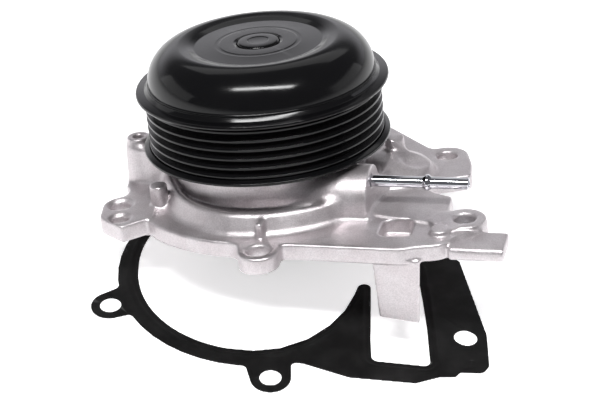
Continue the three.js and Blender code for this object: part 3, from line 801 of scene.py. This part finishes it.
# ---------- the pulley ----------
def pulley_profile():
    centre = (CROWN_R, CROWN_Z - SHOULDER_R)
    outer = [(SHAFT_R + 0.3, DISH_Z - 1.2), (SHAFT_R + 0.35, DISH_Z - 0.4, 0.3),
             (SHAFT_R + 1.5, DISH_Z, 0.4), (14.5, DISH_Z - 0.05, 0.4), (15.1, DISH_Z - 0.15, 0.3),
             (16, DISH_Z - 0.17, 0.3), (16.6, DISH_Z - 0.13, 0.4), (24.4, DISH_Z - 0.4, 1.5),
             (26.8, DISH_Z + 0.4, 1.6)]
    outer += arc(centre, SHOULDER_R, 90, 0, 28)
    outer += [(CAP_R, 51.9, 0.3), (CAP_R + 0.5, 51.4, 0.3), (CAP_R + 0.4, 50.7, 0.3),
              (CAP_R + 0.9, 50.1, 0.4), (CAP_R + 1.6, RIM_Z + 0.35, 0.6), (RIM_R - 0.2, RIM_Z, 0.5),
              (RIM_R, RIM_Z - 0.8, 0.4), (RIM_R - 0.3, RIM_Z - 1.5, 0.4)]
    first_crest = BELT_Z + (RIBS - 1) / 2 * RIB_PITCH
    for i in range(RIBS):
        middle = first_crest - i * RIB_PITCH
        outer += [(CREST_R - RIB_DEPTH, middle + RIB_PITCH / 2, 0.25),
                  (CREST_R, middle + 0.42, 0.3), (CREST_R, middle - 0.42, 0.3)]
    outer += [(CREST_R - RIB_DEPTH, middle - RIB_PITCH / 2, 0.3),
              (CREST_R + 0.4, PULLEY_FOOT_Z + 2, 0.6),
              (LOWER_RIM_R, PULLEY_FOOT_Z + 1.2, 0.5), (LOWER_RIM_R, PULLEY_FOOT_Z + 0.2, 0.4),
              (LOWER_RIM_R - 0.6, PULLEY_FOOT_Z, 0.2)]
    wall_r = CREST_R - RIB_DEPTH - 1.7
    inner = [(wall_r, PULLEY_FOOT_Z, 0.5), (wall_r, RIM_Z + 3)]
    inner += arc(centre, SHOULDER_R - SHEET, 10, 90, 12)
    inner += [(13.4, DISH_Z - SHEET, 1), (13, BEARING_TOP_Z + 1.2, 0.4),
              (SHAFT_R + 0.3, BEARING_TOP_Z + 1.2)]
    return softened(outer + inner, 4)


installed(lathe("pulley_body", pulley_profile()), "rotor", "black_paint",
          MATERIALS["black_paint"], "belt_pulley")

# ---------- shaft, bearing and seal ----------
shaft_profile = softened([
    (0, SHAFT_FOOT_Z), (5.4, SHAFT_FOOT_Z), (6, SHAFT_FOOT_Z + 0.6), (6, 1, 0.3), (SHAFT_R, 1.6, 0.3),
    (SHAFT_R, SHAFT_TOP_Z - 0.6, 0.2), (SHAFT_R - 0.5, SHAFT_TOP_Z - 0.05, 0.4),
    (4.2, SHAFT_TOP_Z, 0.2), (3.9, SHAFT_TOP_Z - 0.2, 0.1), (0, SHAFT_TOP_Z - 0.2),
])


def lip_seal(z, side):
    return softened([(SHAFT_R + 0.3, z), (11.9, z, 0.3), (11.9, z + 1.8 * side, 0.3),
                     (SHAFT_R + 1.6, z + 1.8 * side, 0.5), (SHAFT_R + 0.3, z + 1.2 * side)])


bellows = [(9.2, 13.4)] + [(10.4 if i % 2 else 11.9, 13.4 - i * 1.2, 0.5) for i in range(5)]
bellows += [(9.2, 8.6)]
cup_r = 13.1
TURNED_PIECES = [
    ("shaft_core", shaft_profile, "rotor", "bearing_steel", "pump_shaft"),
    ("seal_lip_upper", lip_seal(BEARING_TOP_Z - 1, -1), "housing", "rubber", "bearing_seal_upper"),
    ("seal_lip_lower", lip_seal(BEARING_FOOT_Z + 0.6, 1), "housing", "rubber", "bearing_seal_lower"),
    ("seal_cup_drawn", softened([(9, 14.6), (cup_r, 14.6, 0.6), (cup_r, 5.2, 0.2),
                                 (cup_r - 0.8, 5.2, 0.2), (cup_r - 0.8, 13.8, 0.4), (9, 13.8)]),
     "housing", "bright_steel", "shaft_seal_cup"),
    ("seal_bellows_moulded", softened(bellows), "housing", "rubber", "shaft_seal_bellows"),
    ("seal_carbon_ground", softened([(8.56, 5.2, 0.2), (11.4, 5.2, 0.2), (11.4, 8.2, 0.3),
                                     (8.56, 8.2, 0.3)]), "housing", "carbon",
     "shaft_seal_carbon_ring"),
    ("seal_ring_ground", softened([(8.26, 2.2, 0.3), (11.6, 2.2, 0.3), (11.6, 4.9, 0.2),
                                   (8.26, 4.9, 0.2)]), "rotor", "carbon",
     "shaft_seal_running_ring"),
    ("impeller_insert", softened([(6.3, IMPELLER_FOOT_Z + 1.3, 0.1), (6.6, IMPELLER_FOOT_Z + 1.3),
                                  (6.6, -0.6), (6.3, -0.6, 0.1)]), "rotor", "bearing_steel",
     "impeller_bush"),
    ("shutter_skirt", softened([
        (SNOUT_R + 0.7, SHUTTER_TOP_Z - 1.6, 0.2), (SHUTTER_BORE_R, SHUTTER_TOP_Z - 1.6, 0.8),
        (SHUTTER_BORE_R, 0.6, 0.2), (SHUTTER_R, 0.6, 0.2), (SHUTTER_R, SHUTTER_TOP_Z, 1.4),
        (SNOUT_R + 0.7, SHUTTER_TOP_Z, 0.2)]), "shutter", "bearing_steel", "shutter_sleeve"),
    ("shutter_lip_ring", softened([
        (SNOUT_R + 0.5, 20.3, 0.3), (SNOUT_R + 0.5, 17.9), (CHAMBER_R - 0.5, 17.9),
        (CHAMBER_R - 0.5, 20.3, 0.3), (CHAMBER_R - 1.9, 20.3, 0.3), (CHAMBER_R - 2.6, 18.9, 0.4),
        (SNOUT_R + 2.6, 18.9, 0.4), (SNOUT_R + 1.9, 20.3, 0.3)]), "shutter", "rubber",
     "shutter_piston_seal"),
    ("spring_snap_ring", softened([
        (SNOUT_R + 0.3, SPRING_SEAT_Z - 1.2, 0.2), (SPRING_R + 2, SPRING_SEAT_Z - 1.2, 0.3),
        (SPRING_R + 2, SPRING_SEAT_Z, 0.3), (SNOUT_R + 0.3, SPRING_SEAT_Z, 0.2)]), "housing",
     "bearing_steel", "spring_seat_ring"),
]
for name, profile, body, slot, node in TURNED_PIECES:
    installed(lathe(name, profile, FACETS // 2), body, slot, MATERIALS[slot], node)

# The shaft's end is painted over together with the pulley.
shaft_mesh = bpy.data.objects["shaft_core"].data
shaft_mesh.materials.append(MATERIALS["black_paint"])
painted_above = (PUMP @ Vector((0, 0, DISH_Z - 2))).z
for face in shaft_mesh.polygons:
    if face.center.z > painted_above:
        face.material_index = 1

# ---------- the vacuum pipe ----------
pipe_r, bead_x = PIPE["r"], PIPE["bead"]
pipe_profile = softened([
    (pipe_r - 0.7, PIPE["from"]), (pipe_r, PIPE["from"]), (pipe_r, bead_x - 1.5, 0.4),
    (2.7, bead_x - 0.8, 0.3), (3, bead_x - 0.3, 0.3), (3, bead_x + 0.3, 0.3), (2.7, bead_x + 0.8, 0.3),
    (pipe_r, bead_x + 1.5, 0.4), (pipe_r, PIPE["to"] - 0.3, 0.3), (pipe_r - 0.3, PIPE["to"], 0.2),
    (pipe_r - 0.7, PIPE["to"], 0.2),
])
pipe = lathe("vacuum_pipe_polished", pipe_profile, 64, axis="x", shift=(0, PIPE["y"], PIPE["z"]))
installed(pipe, "housing", "bright_steel", MATERIALS["bright_steel"], "vacuum_pipe")

# ---------- dowels ----------
dowel_profile = softened([(DOWEL_BORE_R, -DOWEL_DROP, 0.2), (DOWEL_R, -DOWEL_DROP, 0.3),
                          (DOWEL_R, 4, 0.3), (DOWEL_BORE_R, 4, 0.2)])
for name, hole in (("dowel_bush_rear", HOLE_REAR), ("dowel_bush_right", HOLE_RIGHT)):
    dowel = lathe(name + "_rolled", dowel_profile, 48, shift=(*hole, 0))
    installed(dowel, "housing", "bearing_steel", MATERIALS["bearing_steel"], name)


# ---------- the gasket ----------
GASKET_HOLES = ((-56.3, -22), (4.7, -61.4), (67.3, 19.1))
GASKET_SLOT = (76.4, -40.4)
GASKET_DIMPLE = (77.6, -53.5)
GASKET_OUTLET_EDGE = (
    (77.6, 3.6), (81.6, -21.5), (84.4, -39, 6), (83.8, -55.6, 3), (81.4, -59, 2.5), (72.9, -58.8, 1),
    (71.2, -61.1, 1), (65.3, -61.1, 3), (56.7, -64.2, 3), (33, -61.2), (12, -52), (30, -20), (60, 10),
)


def gasket_opening():
    """The ring's opening, which widens clockwise and runs out into the outlet window."""
    start = [(-24, 39.4), (-38, 40.8), (-52, 42.6), (-66, 44.8), (-80, 46.6), (-92, 47.3)]
    points = [at_bearing(r, deg) for deg, r in start]
    points += [at_bearing(47.4 + max(0, -deg - 180) * 0.05, deg) for deg in range(-104, -217, -4)]
    points += [at_bearing(49.2 + (-deg - 216) * 0.07, deg) for deg in range(-220, -297, -4)]
    points += [(48, 26), (55, 18), (58.6, 9), (60.6, -2), (61.8, -20), (62.5, -36), (62.5, -52)]
    points += arc((60.1, -53), 2.5, -10, -82, 6)
    points += arc((43.9, -50.4), 2.6, -98, -180, 6)
    points += [(41.3, -42), (42.4, -14)]
    points += arc((39.9, -12.5), 2.7, 20, 165, 10)
    return points


def gasket_field():
    step = CELL * 0.85
    field = Field((-66, -72, -0.4), (90, 62, 1.6), (step, step, 0.1))
    x, y, z = field.axes
    bands = [
        [(0, 0, 55.3)],
        [(*GASKET_HOLES[0], 7.4), (-44, -16, 9)],
        [(*GASKET_HOLES[1], 7.4), (3, -48, 9)],
        [(26, 26, 29), (9, 12, 46), (0, 0, 50)],
        [(*GASKET_HOLES[2], 8), (60, -2, 17), (40, 20, 22)],
    ]
    plate = outline_distance(softened(GASKET_OUTLET_EDGE), x, y)
    for circles in bands:
        plate = merge(plate, outline_distance(taut(circles), x, y), 1.5)
    opening = outline_distance(gasket_opening(), x, y)
    cutters = [opening]
    for hx, hy in GASKET_HOLES:
        cutters.append(np.hypot((x - hx)[:, None], (y - hy)[None, :]) - HOLE_R)
    sx, sy = GASKET_SLOT
    slot = taut([(sx - 0.35, sy + 0.28, 3.9), (sx + 0.35, sy - 0.28, 3.9)])
    cutters.append(outline_distance(slot, x, y))
    sheet = plate
    for cutter in cutters:
        sheet = np.maximum(sheet, -cutter)
    # The embossed bead that seals round the opening, and a dimple.
    bead = np.exp(-(((opening - 3) / 0.8) ** 2)) * 0.3
    from_dimple = np.hypot((x - GASKET_DIMPLE[0])[:, None], (y - GASKET_DIMPLE[1])[None, :])
    bead = np.maximum(bead, np.exp(-((from_dimple / 0.8) ** 2)) * 0.5)
    top = z[None, None, :] - (GASKET_T + bead * (sheet < -0.9))[:, :, None]
    side = np.broadcast_to(sheet[:, :, None], top.shape)
    field.d = meet(meet(side, top, 0.1), np.broadcast_to(-z[None, None, :], top.shape), 0.05)
    field.d = field.d.astype(np.float32)
    return field


gasket = piece("gasket_sheet", *skin(gasket_field()), GASKET, 40)
thinned(gasket, GASKET_TRIANGLES)
installed(gasket, "gasket", "gasket_coat", MATERIALS["gasket_coat"], "flange_gasket")


# ---------- the shutter's return spring ----------
def coil(r, low, high, turns, wire_r, steps=48, facets=12):
    """A helical wire with closed ends. The steps are those of one turn."""
    vertices = []
    for k in range(round(turns * steps) + 1):
        angle = 2 * math.pi * k / steps
        height = low + (high - low) * k / (turns * steps)
        for u, v in arc((r, height), wire_r, 0, 360, facets)[:-1]:
            vertices.append((u * math.cos(angle), u * math.sin(angle), v))
    rows = range(0, len(vertices) - facets, facets)
    faces = [
        (a + i, a + (i + 1) % facets, a + facets + (i + 1) % facets, a + facets + i)
        for a in rows for i in range(facets)
    ]
    faces += [tuple(range(facets))[::-1], tuple(range(len(vertices) - facets, len(vertices)))]
    return vertices, faces


wire = coil(SPRING_R, SPRING_SEAT_Z + 2 * SPRING_WIRE_R, SPRING_TOP_Z, SPRING_TURNS, SPRING_WIRE_R)
spring = piece("return_spring_wound", *wire, PUMP, 40)
outward(spring)
installed(spring, "housing", "bright_steel", MATERIALS["bright_steel"], "shutter_return_spring")
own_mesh(spring)

# ---------- carried-over pieces ----------
CARRIED = {
    "bearing_outer_ring": "bearing_steel", "bearing_balls_lower": "bearing_steel",
    "bearing_balls_upper": "bearing_steel", "impeller": "black_plastic",
}
for node, slot in CARRIED.items():
    mesh = frame["nodes"][node].data
    mesh.materials.clear()
    mesh.materials.append(MATERIALS[slot])

# ---------- floor, light and camera ----------
floor_mesh = bpy.data.meshes.new("floor")
floor_corners = [(-6, -6, 0), (6, -6, 0), (6, 6, 0), (-6, 6, 0)]
floor_mesh.from_pydata(floor_corners, [], [(0, 1, 2, 3)])
floor = bpy.data.objects.new("floor", floor_mesh)
bpy.context.scene.collection.objects.link(floor)
floor_look = Look("floor", (0.92, 0.92, 0.925), 0.0, 0.7, Emission_Strength=0.55,
                  Emission_Color=(1, 1, 1, 1))
floor_mesh.materials.append(floor_look.material)


def studio_world():
    """Dim all round, and white low down behind the pump, like a sheet of paper."""
    world = bpy.data.worlds.new("studio")
    world.use_nodes = True
    tree = world.node_tree
    split = tree.nodes.new("ShaderNodeSeparateXYZ")
    tree.links.new(tree.nodes.new("ShaderNodeTexCoord").outputs["Generated"], split.inputs["Vector"])

    def share(socket, low, high):
        made = tree.nodes.new("ShaderNodeMapRange")
        made.interpolation_type = "SMOOTHSTEP"
        made.inputs["From Min"].default_value = low
        made.inputs["From Max"].default_value = high
        tree.links.new(split.outputs[socket], made.inputs["Value"])
        return made.outputs["Result"]

    both = tree.nodes.new("ShaderNodeMath")
    both.operation = "MULTIPLY"
    tree.links.new(share("Z", 0.3, 0.04), both.inputs[0])
    tree.links.new(share("Y", 0.35, 0.95), both.inputs[1])
    level = tree.nodes.new("ShaderNodeMath")
    level.operation = "ADD"
    level.inputs[1].default_value = 0.15
    tree.links.new(both.outputs["Value"], level.inputs[0])
    background = tree.nodes["Background"]
    background.inputs["Color"].default_value = (0.96, 0.95, 1, 1)
    tree.links.new(level.outputs["Value"], background.inputs["Strength"])
    return world


bpy.context.scene.world = studio_world()


def softbox(name, azimuth, elevation, distance, width, height, power):
    """A soft light that looks at the pump. Azimuth 0 is on the camera's side."""
    a, e = math.radians(azimuth), math.radians(elevation)
    back = Vector((math.sin(a) * math.cos(e), -math.cos(a) * math.cos(e), math.sin(e)))
    light = bpy.data.lights.new(name, "AREA")
    light.shape = "RECTANGLE"
    light.size, light.size_y = width, height
    light.energy = power
    obj = bpy.data.objects.new(name, light)
    obj.location = Vector((0, 0, 0.04)) + back * distance
    obj.rotation_mode = "QUATERNION"
    obj.rotation_quaternion = back.to_track_quat("Z", "Y")
    bpy.context.scene.collection.objects.link(obj)


softbox("front_top", -6, 71, 0.9, 0.8, 0.11, 9.5)
softbox("behind", 180, 38, 1.2, 1.2, 0.5, 1.3)
softbox("left", -100, 12, 0.9, 0.8, 0.3, 0.5)
softbox("right", 100, 12, 0.9, 0.8, 0.3, 0.5)

camera = bpy.data.cameras.new("camera")
camera.lens = CAMERA_LENS
camera.sensor_width = 36
camera_object = bpy.data.objects.new("camera", camera)
camera_object.location = PUMP.translation + Vector(CAMERA_FROM_PUMP)
camera_object.rotation_euler = (math.radians(CAMERA_TILT_DEG), 0, 0)
bpy.context.scene.collection.objects.link(camera_object)
bpy.context.scene.camera = camera_object
bpy.context.scene.view_settings.view_transform = "Standard"
